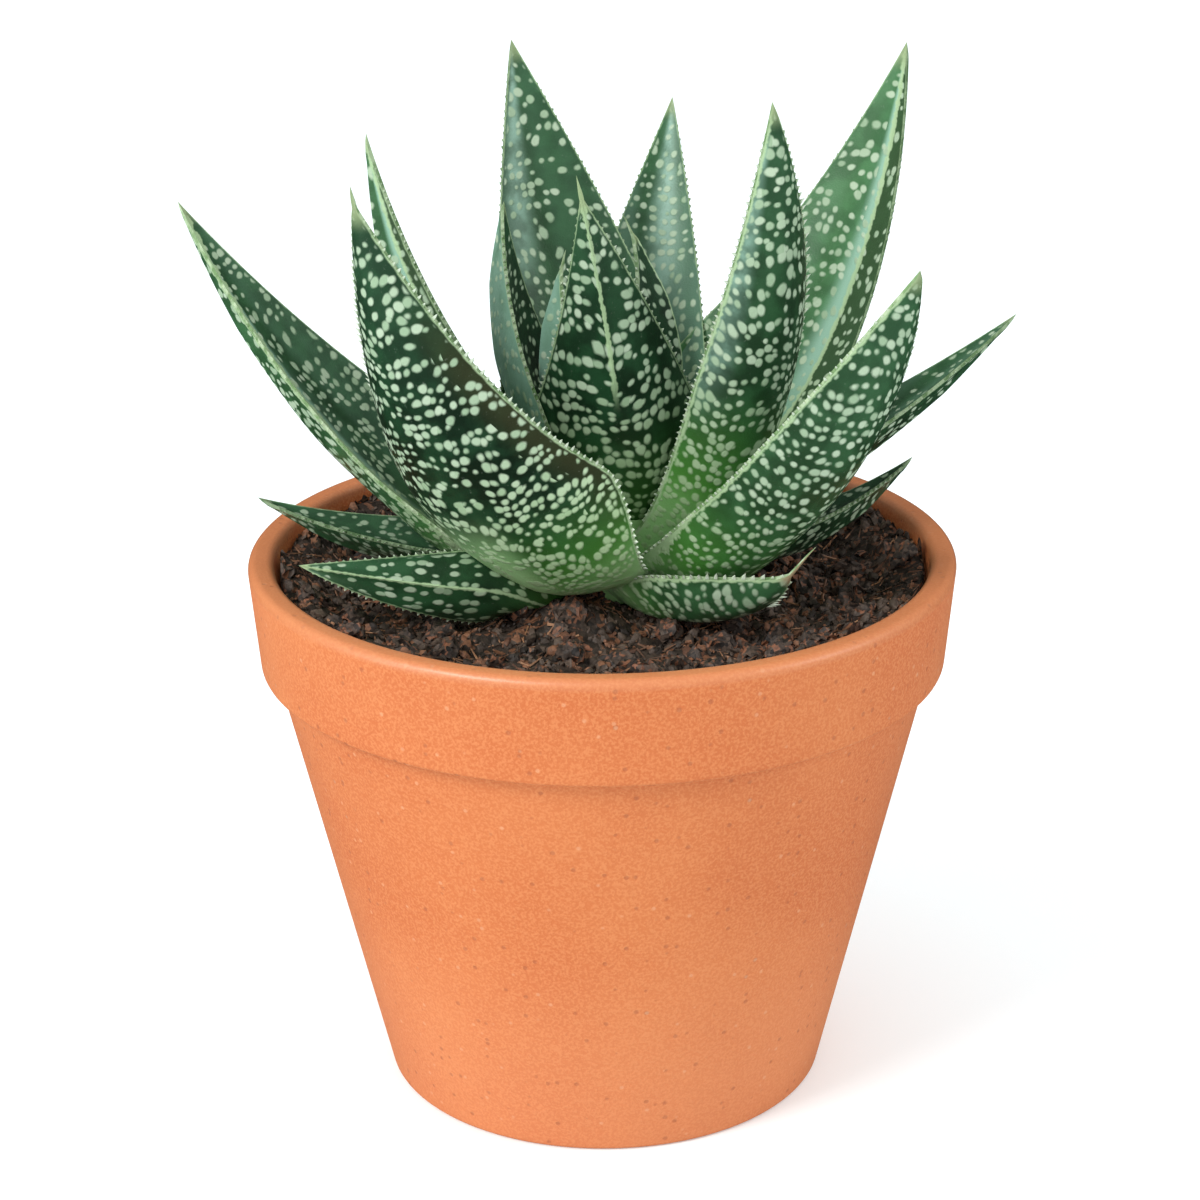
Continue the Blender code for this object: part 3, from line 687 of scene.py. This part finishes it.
# Beyond a ridge line: brown-green, darkened as painted shade.
RIDGE_BROWN_AND_SHADE = (0.034, 0.072, 0.028)
PALE_LINE = (0.370, 0.520, 0.290)
SPOTS = ((0.290, 0.420, 0.265), (0.440, 0.555, 0.400))
FOOT_SPOT = (0.350, 0.520, 0.245)
TIPS = ((0.260, 0.340, 0.170), (0.300, 0.190, 0.110))
DUST = (0.45, 0.48, 0.42)

# Metres between spots before a leaf's spacing, and how far up the foot they crowd together.
SPOT_PITCH_ACROSS = 0.0021
SPOT_PITCH_ALONG = 0.0025
CROWD_REACH = 0.022


class Nodes:
    """A node tree, with short ways to add nodes. Values are sockets, numbers or colours."""

    def __init__(self, tree):
        self.tree = tree

    def put(self, socket, value):
        if isinstance(value, bpy.types.NodeSocket):
            self.tree.links.new(value, socket)
        elif isinstance(value, tuple) and len(value) == 3 and socket.type == "RGBA":
            socket.default_value = (*value, 1.0)
        else:
            socket.default_value = value

    def fill(self, node, inputs):
        for key, value in inputs.items():
            self.put(node.inputs[key], value)

    def add(self, kind, inputs, **settings):
        node = self.tree.nodes.new("ShaderNode" + kind)
        for name, value in settings.items():
            setattr(node, name, value)
        self.fill(node, inputs)
        return node

    def use(self, group, inputs):
        return self.add("Group", inputs, node_tree=group).outputs

    def calc(self, operation, *values):
        return self.add("Math", dict(enumerate(values)), operation=operation).outputs[0]

    def plus(self, first, second):
        return self.calc("ADD", first, second)

    def minus(self, first, second):
        return self.calc("SUBTRACT", first, second)

    def times(self, product, *values):
        for value in values:
            product = self.calc("MULTIPLY", product, value)
        return product

    def vector_calc(self, operation, *values):
        node = self.add("VectorMath", dict(enumerate(values)), operation=operation)
        return node.outputs["Value" if operation == "LENGTH" else "Vector"]

    def stretch(self, vector, amounts):
        return self.vector_calc("MULTIPLY", vector, amounts)

    def between(self, value, low, high, start=0.0, end=1.0):
        """Turns low..high into start..end, smoothly and no further."""
        return self.add("MapRange", {
            "Value": value, "From Min": low, "From Max": high, "To Min": start, "To Max": end,
        }, interpolation_type="SMOOTHSTEP").outputs["Result"]

    def tint(self, share, first, second):
        return self.add("Mix", {0: share, 6: first, 7: second}, data_type="RGBA").outputs[2]

    def split(self, vector):
        return self.add("SeparateXYZ", {"Vector": vector}).outputs

    def join(self, x, y, z=0.0):
        return self.add("CombineXYZ", {"X": x, "Y": y, "Z": z}).outputs[0]

    def chances(self, colour):
        """Three random numbers, Red, Green and Blue, from a cell's colour."""
        return self.add("SeparateColor", {"Color": colour}).outputs

    def noise(self, place, scale, detail=2.0, roughness=0.5, flat=True, output="Fac"):
        return self.add("TexNoise", {
            "Vector": place, "Scale": scale, "Detail": detail, "Roughness": roughness,
        }, noise_dimensions="2D" if flat else "3D").outputs[output]

    def cells(self, place, scale, **settings):
        return self.add("TexVoronoi", {"Vector": place, "Scale": scale}, **settings)

    def map(self, name):
        return self.add("UVMap", {}, uv_map=name).outputs["UV"]

    def place(self):
        return self.add("TexCoord", {}).outputs["Object"]

    def bump(self, strength, distance, height):
        return self.add("Bump", {
            "Strength": strength, "Distance": distance, "Height": height}).outputs["Normal"]


def new_group(name, inputs, outputs):
    """An empty node group. inputs are (name, kind, value) and outputs names of numbers."""
    group = bpy.data.node_groups.new(name, "ShaderNodeTree")
    for label, kind, value in inputs:
        socket = group.interface.new_socket(
            name=label, in_out="INPUT", socket_type="NodeSocket" + kind)
        if value is not None:
            socket.default_value = value
    for label in outputs:
        group.interface.new_socket(name=label, in_out="OUTPUT", socket_type="NodeSocketFloat")
    given = group.nodes.new("NodeGroupInput").outputs
    return group, Nodes(group), given, group.nodes.new("NodeGroupOutput").inputs


def new_material(name):
    material = bpy.data.materials.new(name)
    material.use_nodes = True
    tree = material.node_tree
    return material, Nodes(tree), tree.nodes["Principled BSDF"]


def spots_group():
    """Round pale spots in loose rows across the leaf, closer together towards its foot."""
    group, tree, given, out = new_group("leaf_spots", [
        ("Place", "Vector", None), ("Size", "Float", 0.0007), ("Share", "Float", 0.6),
        ("Long", "Float", 1.0), ("Spacing", "Float", 1.0), ("Crowd", "Float", 0.5),
        ("Seed", "Float", 0.0)], ["Mask", "Tone"])
    axes = tree.split(given["Place"])
    near_foot = tree.calc("EXPONENT", tree.calc("DIVIDE", axes["Y"], -CROWD_REACH))
    crowd = tree.plus(1.0, tree.times(near_foot, given["Crowd"]))
    along = tree.plus(axes["Y"], tree.times(
        given["Crowd"], CROWD_REACH, tree.minus(1.0, near_foot)))
    across, along, crowd = (
        tree.calc("DIVIDE", value, given["Spacing"])
        for value in (tree.times(axes["X"], crowd), along, crowd))
    even = tree.join(across, along, given["Seed"])

    # The rows wander, and each leaf starts elsewhere on the endless sheet of cells.
    wander = tree.noise(
        tree.stretch(even, (90.0, 60.0, 1.0)), 1.0, 0.0, flat=False, output="Color")
    shift = tree.stretch(
        tree.vector_calc("SUBTRACT", wander, (0.5, 0.5, 0.5)), (0.0030, 0.0060, 0.0))
    start = tree.join(tree.times(given["Seed"], 3.7), tree.times(given["Seed"], 2.3))
    pitch = (SPOT_PITCH_ACROSS, SPOT_PITCH_ALONG, 1.0)
    sheet = tree.vector_calc("ADD", tree.vector_calc(
        "DIVIDE", tree.vector_calc("ADD", even, shift), pitch), start)

    shape = tree.join(tree.times(crowd, given["Long"]), crowd, 1.0)
    ragged = tree.noise(given["Place"], 650.0, 0.0)
    uneven = tree.between(ragged, 0.25, 0.75, -0.00010, 0.00010)
    masks = []
    for feature in ("F1", "F2"):
        cells = tree.cells(sheet, 1.0, voronoi_dimensions="2D", feature=feature)
        tree.put(cells.inputs["Randomness"], 0.66)
        centre = cells.outputs["Position"]
        chance = tree.chances(cells.outputs["Color"])
        away = tree.stretch(tree.vector_calc("SUBTRACT", sheet, centre), (*pitch[:2], 0.0))
        distance = tree.vector_calc("LENGTH", tree.vector_calc("DIVIDE", away, shape))
        radius = tree.times(
            given["Size"], tree.between(chance["Red"], 0.0, 1.0, 0.65, 1.25),
            tree.minus(1.0, tree.times(near_foot, 0.32)))
        rows = tree.noise(tree.stretch(centre, (0.14, 0.75, 0.0)), 1.0, 1.0)
        limit = tree.plus(given["Share"], tree.between(rows, 0.35, 0.65, -0.36, 0.36))
        there = tree.calc("LESS_THAN", chance["Green"], limit)
        rim = tree.between(
            tree.plus(tree.minus(radius, distance), uneven), -0.00022, 0.00026)
        masks.append(tree.times(rim, there))
        if feature == "F1":
            tree.put(out["Tone"], chance["Blue"])
    tree.put(out["Mask"], tree.calc("MAXIMUM", *masks))
    return group


def skin_grain_group():
    """The fine pebbling of the skin, its soft blotches and its dust."""
    group, tree, given, out = new_group(
        "skin_grain", [("Place", "Vector", None)], ["Height", "Blotch", "Dust"])
    pebbles = tree.cells(given["Place"], 2600.0, voronoi_dimensions="2D").outputs["Distance"]
    blotch = tree.noise(given["Place"], 160.0, 4.0)
    dust = tree.noise(given["Place"], 900.0, 3.0, 0.7)
    tree.put(out["Height"], tree.plus(tree.times(pebbles, 0.4), blotch))
    tree.put(out["Blotch"], blotch)
    tree.put(out["Dust"], tree.between(dust, 0.66, 0.78))
    return group


def mixed(share, first, second):
    return tuple(a + (b - a) * share for a, b in zip(first, second))


def leaf_skin(name, leaf, skin, number):
    """One leaf's upper or lower skin: green with painted sheen, painted light towards the tip and
    a painted glow at the foot, spots, pale lines and a dry tip.
    """
    upper = skin == UPPER
    material, tree, shader = new_material(f"{name}_{'upper' if upper else 'lower'}")
    place = tree.map("blade")
    side = tree.split(place)["X"]
    edge = tree.split(tree.map("edge"))
    from_edge, share = edge["X"], edge["Y"]
    half = tree.plus(tree.calc("ABSOLUTE", side), from_edge)
    across = tree.calc("DIVIDE", side, half)
    grain = tree.use(GROUPS["skin_grain"], {"Place": place})
    deep, blue, thin = (
        leaf["upper_" + key if upper else key] for key in ("deep", "blue", "spots"))

    # The green and what tints it.
    green = tree.tint(
        tree.between(grain["Blotch"], 0.35, 0.70), mixed(deep, *DARK_GREENS),
        mixed(deep, *MID_GREENS))
    # Painted sheen: bluish streaks of reflected light on the skin.
    if blue:
        streak = tree.noise(tree.stretch(place, (110.0, 16.0, 0.0)), 1.0)
        blue_sheen = tree.times(tree.between(streak, 0.25, 0.62), blue)
        green = tree.tint(blue_sheen, green, BLUE_SHEEN)
    # Painted light: the green lightens towards the tip, where the leaf stands in the light.
    green = tree.tint(tree.between(share, 0.45, 1.0, 0.0, 0.30), green, LIT_TIP_GREEN)
    # Painted glow: light green at the foot, standing in for light shining through the leaf.
    foot = tree.times(tree.between(share, leaf["glow_reach"], 0.06), leaf["glow"])
    green = tree.tint(foot, green, FOOT_GLOW_GREEN)
    # Pale mint at the foot, partly its own colour and partly painted light on the shaded foot.
    if leaf["mint"]:
        low = tree.times(tree.between(share, leaf["mint_reach"], 0.02), leaf["mint"])
        green = tree.tint(low, green, LIT_MINT)
    # Painted sheen: a soft bluish shine of reflected light down one skin.
    if leaf["sheen"] and leaf["sheen_skin"] == skin:
        off = tree.calc("ABSOLUTE", tree.minus(across, leaf["sheen_at"]))
        shine = tree.times(
            tree.between(off, leaf["sheen_wide"], 0.0), leaf["sheen"],
            tree.between(share, leaf["sheen_from"], leaf["sheen_from"] + 0.25),
            tree.between(grain["Blotch"], 0.38, 0.62, 0.40, 1.0))
        green = tree.tint(shine, green, SHEEN)
    # Pale mint strip down one side, partly its own colour and partly painted light on the shaded
    # foot.
    if leaf["mint_side"] and not upper:
        strip = tree.times(
            tree.between(across, 0.34, 0.06), tree.between(share, 0.38, 0.16),
            leaf["mint_side"])
        green = tree.tint(strip, green, LIT_MINT)
        thin = tree.minus(thin, tree.times(strip, 0.6))
    if leaf["brown"]:
        near = tree.times(
            tree.between(from_edge, 0.0080, 0.0015),
            tree.between(side, 0.0, 0.25 * leaf["width"]),
            tree.between(share, 0.85, 0.60), tree.between(share, 0.15, 0.40))
        green = tree.tint(tree.times(near, 0.85 * leaf["brown"]), green, BROWN)
        thin = tree.minus(thin, tree.times(near, 0.50 * leaf["brown"]))

    # The pale lines, beaded like a string.
    beads = tree.noise(tree.stretch(place, (260.0, 620.0, 0.0)), 1.0)
    beads = tree.between(beads, 0.3, 0.7, 0.55, 1.3)

    def beaded(wide, away, soft=0.0003):
        return tree.between(tree.minus(tree.times(wide, beads), away), -0.0002, soft)

    on_plus = tree.calc("GREATER_THAN", side, 0.0)
    wide = tree.plus(
        tree.times(on_plus, leaf["plus_band"] - leaf["minus_band"]), leaf["minus_band"])
    if leaf["ridge_skin"] != skin:
        wide = tree.plus(wide, tree.times(tree.between(share, 0.30, 0.08), leaf["foot_band"]))
    band = beaded(wide, from_edge)
    if leaf["keel_line"] and not upper:
        off = tree.calc("ABSOLUTE", tree.minus(side, leaf["keel_at"] * leaf["width"] / 2))
        keel = tree.times(
            beaded(leaf["keel_line"] / 2, off, 0.0002),
            tree.between(share, leaf["keel_from"], leaf["keel_from"] + 0.12))
        band = tree.calc("MAXIMUM", band, keel)
    if leaf["ridge_skin"] == skin:
        depth = tree.minus(
            tree.times(half, leaf["ridge_at"]), tree.times(side, leaf["ridge_side"]))
        wide = tree.plus(leaf["ridge_line"] / 2, tree.times(
            tree.between(share, 0.42, 0.10), leaf["foot_band"] / 2))
        band = tree.calc("MAXIMUM", band, beaded(wide, tree.calc("ABSOLUTE", depth)))
        # Before the ridge line: a painted bluish sheen.
        before = tree.times(
            tree.between(depth, -0.0002, 0.0003),
            tree.between(tree.calc("DIVIDE", depth, half), leaf["ridge_sheen_wide"], 0.10))
        up_leaf = tree.between(share, 0.12, 0.42, 0.0, leaf["ridge_sheen"])
        # Beyond the ridge line: brown-green, partly its own colour and partly painted shade.
        beyond = tree.times(tree.between(depth, 0.0, -0.0004), leaf["ridge_shade_beyond"])
        green = tree.tint(tree.times(before, up_leaf), green, RIDGE_SHEEN)
        green = tree.tint(beyond, green, RIDGE_BROWN_AND_SHADE)
        thin = tree.minus(thin, tree.times(before, 0.35))

    # The spots, the tip and the dust.
    spots = tree.use(GROUPS["leaf_spots"], {
        "Place": place, "Size": leaf["spot_size"] * (0.88 if upper else 1.0), "Share": thin,
        "Long": leaf["spot_long"], "Spacing": leaf["spacing"], "Crowd": leaf["crowd"],
        "Seed": 3.1 * number + 11.0 * skin})
    spot = tree.times(spots["Mask"], tree.between(from_edge, 0.0003, 0.0009))
    spot_colour = tree.tint(
        tree.between(share, 0.55, 0.10, 0.0, 0.7), tree.tint(spots["Tone"], *SPOTS), FOOT_SPOT)
    colour = tree.tint(tree.times(spot, leaf["spot_white"]), green, spot_colour)
    colour = tree.tint(tree.times(band, 0.9), colour, PALE_LINE)
    tip = tree.between(share, 0.94 - leaf["spike"], 0.985 - leaf["spike"])
    colour = tree.tint(tree.times(tip, 0.8), colour, mixed(leaf["dry"], *TIPS))
    colour = tree.tint(tree.times(grain["Dust"], 0.10), colour, DUST)
    height = tree.plus(spot, tree.times(grain["Height"], 0.7))
    tree.fill(shader, {
        "Base Color": colour, "Roughness": tree.between(spot, 0.0, 1.0, 0.40, 0.52),
        "Specular IOR Level": 0.32, "Normal": tree.bump(0.6, 0.00014, height)})
    return material


def leaf_edge(name, leaf):
    """The hard rim of one leaf, green to cream, with teeth that whiten to their points."""
    material, tree, shader = new_material(f"{name}_edge")
    mottle = tree.noise(tree.map("blade"), 420.0)
    low = mixed(leaf["edge_pale"], (0.014, 0.050, 0.016), (0.160, 0.280, 0.110))
    high = mixed(leaf["edge_pale"], (0.060, 0.130, 0.050), (0.400, 0.510, 0.320))
    colour = tree.tint(tree.between(mottle, 0.35, 0.65), low, high)
    up_tooth = tree.between(tree.split(tree.map("edge"))["X"], 0.0, -0.0005)
    colour = tree.tint(up_tooth, colour, (0.560, 0.640, 0.510))
    tree.fill(shader, {"Base Color": colour, "Roughness": 0.5, "Specular IOR Level": 0.4})
    return material


def clay_material():
    """Fired clay: fine speckle, soft clouds, faint turning lines, a paler foot painted as light
    bounced up from the floor, and a lip painted paler as a highlight.
    """
    material, tree, shader = new_material("terracotta_clay")
    place = tree.place()
    height_up = tree.split(place)["Z"]
    clouds = tree.noise(place, 26.0, 4.0, flat=False)
    fine = tree.noise(place, 1900.0, 2.0, 0.6, flat=False)
    turning = tree.noise(tree.stretch(place, (5.0, 5.0, 260.0)), 1.0, flat=False)
    grit = tree.cells(place, 560.0).outputs
    chance = tree.chances(grit["Color"])
    speck = tree.times(
        tree.between(grit["Distance"], 0.34, 0.14), tree.calc("LESS_THAN", chance["Red"], 0.14))
    fleck = tree.times(
        tree.between(grit["Distance"], 0.30, 0.12),
        tree.calc("GREATER_THAN", chance["Green"], 0.90))
    lip = tree.between(height_up, POT_HEIGHT - 0.0024, POT_HEIGHT - 0.0006)
    colour = (0.550, 0.132, 0.030)
    for share, other in (
            (tree.between(clouds, 0.3, 0.7), (0.600, 0.168, 0.044)),
            (tree.between(fine, 0.40, 0.64, 0.0, 0.46), (0.720, 0.270, 0.095)),
            # Painted light: paler towards the foot, as light bounced up from the floor.
            (tree.between(height_up, 0.055, 0.004, 0.0, 0.30), (0.760, 0.290, 0.130)),
            (tree.times(speck, 0.40), (0.300, 0.075, 0.030)),
            (tree.times(fleck, 0.35), (0.74, 0.42, 0.24)),
            # Painted highlight: the lip paler, alongside its real coat of gloss.
            (tree.times(lip, 0.45), (0.70, 0.280, 0.120))):
        colour = tree.tint(share, colour, other)
    height = tree.plus(
        tree.times(fine, 0.8), tree.minus(tree.times(turning, 0.5), tree.times(speck, 0.7)))
    tree.fill(shader, {
        "Base Color": colour, "Roughness": tree.between(lip, 0.0, 1.0, 0.66, 0.42),
        "Coat Weight": tree.times(lip, 0.7), "Coat Roughness": 0.36,
        "Specular IOR Level": 0.5, "Normal": tree.bump(0.5, 0.00022, height)})
    return material


def earth_material(name, scale, warm_share, dark, light, warm):
    """Damp soil, bark or fibre: dark and light crumbs with some warm ones."""
    material, tree, shader = new_material(name)
    place = tree.place()
    chance = tree.chances(tree.cells(place, scale).outputs["Color"])
    fine = tree.noise(place, 1500.0, 3.0, flat=False)
    colour = tree.tint(chance["Red"], dark, light)
    is_warm = tree.calc("GREATER_THAN", chance["Green"], 1.0 - warm_share)
    colour = tree.tint(is_warm, colour, warm)
    colour = tree.tint(tree.between(fine, 0.35, 0.7, 0.0, 0.5), colour, dark)
    tree.fill(shader, {
        "Base Color": colour, "Roughness": 0.62, "Specular IOR Level": 0.5,
        "Normal": tree.bump(0.8, 0.0003, fine)})
    return material


def stem_material():
    material, tree, shader = new_material("stem_green")
    mottle = tree.noise(tree.place(), 260.0, 3.0, flat=False)
    colour = tree.tint(
        tree.between(mottle, 0.3, 0.7), (0.190, 0.430, 0.130), (0.300, 0.540, 0.210))
    tree.fill(shader, {"Base Color": colour, "Roughness": 0.5})
    return material


# Floor, light and camera


def build_stage():
    bm = bmesh.new()
    bmesh.ops.create_grid(bm, x_segments=1, y_segments=1, size=3.0)
    material, tree, shader = new_material("studio_floor")
    tree.fill(shader, {
        "Base Color": (0.78, 0.86, 0.885), "Roughness": 1.0, "Specular IOR Level": 0.0,
        "Emission Color": (1.0, 1.0, 1.0), "Emission Strength": 0.185})
    floor = finished("floor", bm, [material])
    floor.visible_glossy = False


def area_light(name, place, target, size, power):
    light = bpy.data.lights.new(name, "AREA")
    light.shape = "DISK"
    light.size = size
    light.energy = power
    lamp = bpy.data.objects.new(name, light)
    lamp.location = place
    lamp.rotation_euler = (Vector(place) - Vector(target)).to_track_quat("Z", "Y").to_euler()
    bpy.context.scene.collection.objects.link(lamp)


def build_light():
    world = bpy.data.worlds.new("studio")
    world.use_nodes = True
    sky = world.node_tree.nodes["Background"]
    Nodes(world.node_tree).fill(sky, {"Color": (1.0, 1.0, 1.0), "Strength": 1.02})
    bpy.context.scene.world = world
    world.cycles_visibility.glossy = False
    area_light("key", (-1.9, -1.7, 2.2), (0.0, 0.0, 0.10), 1.2, 58.0)
    area_light("low_left", (-2.2, -1.0, 0.45), (0.0, 0.0, 0.08), 1.0, 9.0)
    area_light("right", (2.3, -0.6, 1.3), (0.0, 0.0, 0.08), 1.2, 12.0)


def build_camera():
    elevation, roll, distance = math.radians(20.9), math.radians(-0.4), 0.575
    aim = Vector((-0.00045, 0.0, 0.0924))
    back = Vector((0.0, -math.cos(elevation), math.sin(elevation)))
    camera = bpy.data.cameras.new("camera")
    camera.lens = 93.0
    camera.sensor_width = 36.0
    camera.clip_start = 0.01
    holder = bpy.data.objects.new("camera", camera)
    holder.matrix_world = (
        Matrix.Translation(aim + distance * back)
        @ back.to_track_quat("Z", "Y").to_matrix().to_4x4() @ Matrix.Rotation(roll, 4, "Z"))
    bpy.context.scene.collection.objects.link(holder)
    bpy.context.scene.camera = holder
    bpy.context.scene.view_settings.view_transform = "Standard"


# What lies loose on the soil: its seed, how many clumps, what makes one, how fine its patches of
# colour are, the share of warm ones, and its dark, light and warm colours.
LOOSE = {
    "soil_crumbs": (
        11, 130, crumb_clump, 520.0, 0.20,
        (0.022, 0.015, 0.011), (0.140, 0.095, 0.068), (0.260, 0.115, 0.058)),
    "soil_clods": (
        31, 40, clod_clump, 1300.0, 0.22,
        (0.012, 0.009, 0.008), (0.125, 0.082, 0.058), (0.230, 0.092, 0.045)),
    "coir_fibres": (
        47, 60, fibre_clump, 300.0, 0.3,
        (0.090, 0.040, 0.020), (0.230, 0.110, 0.055), (0.380, 0.190, 0.095)),
    "bark_chips": (
        23, 42, chip_clump, 350.0, 0.3,
        (0.060, 0.024, 0.014), (0.180, 0.080, 0.042), (0.300, 0.120, 0.060)),
}

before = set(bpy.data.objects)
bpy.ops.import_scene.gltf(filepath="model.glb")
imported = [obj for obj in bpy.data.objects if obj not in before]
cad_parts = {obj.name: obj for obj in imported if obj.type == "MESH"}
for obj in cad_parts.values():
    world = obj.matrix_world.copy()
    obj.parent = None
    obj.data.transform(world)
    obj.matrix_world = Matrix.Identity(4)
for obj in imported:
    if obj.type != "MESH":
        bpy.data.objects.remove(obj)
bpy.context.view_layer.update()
GROUPS = {"leaf_spots": spots_group(), "skin_grain": skin_grain_group()}

build_pot(clay_material())
build_soil(earth_material(
    "dark_soil", 900.0, 0.16, (0.016, 0.011, 0.008), (0.070, 0.046, 0.032),
    (0.180, 0.075, 0.036)))
build_stem(stem_material())
build_leaves()
for name, (seed, clumps, make_clump, *looks) in LOOSE.items():
    scatter(name, earth_material(name, *looks), seed, clumps, make_clump)

build_stage()
build_light()
build_camera()
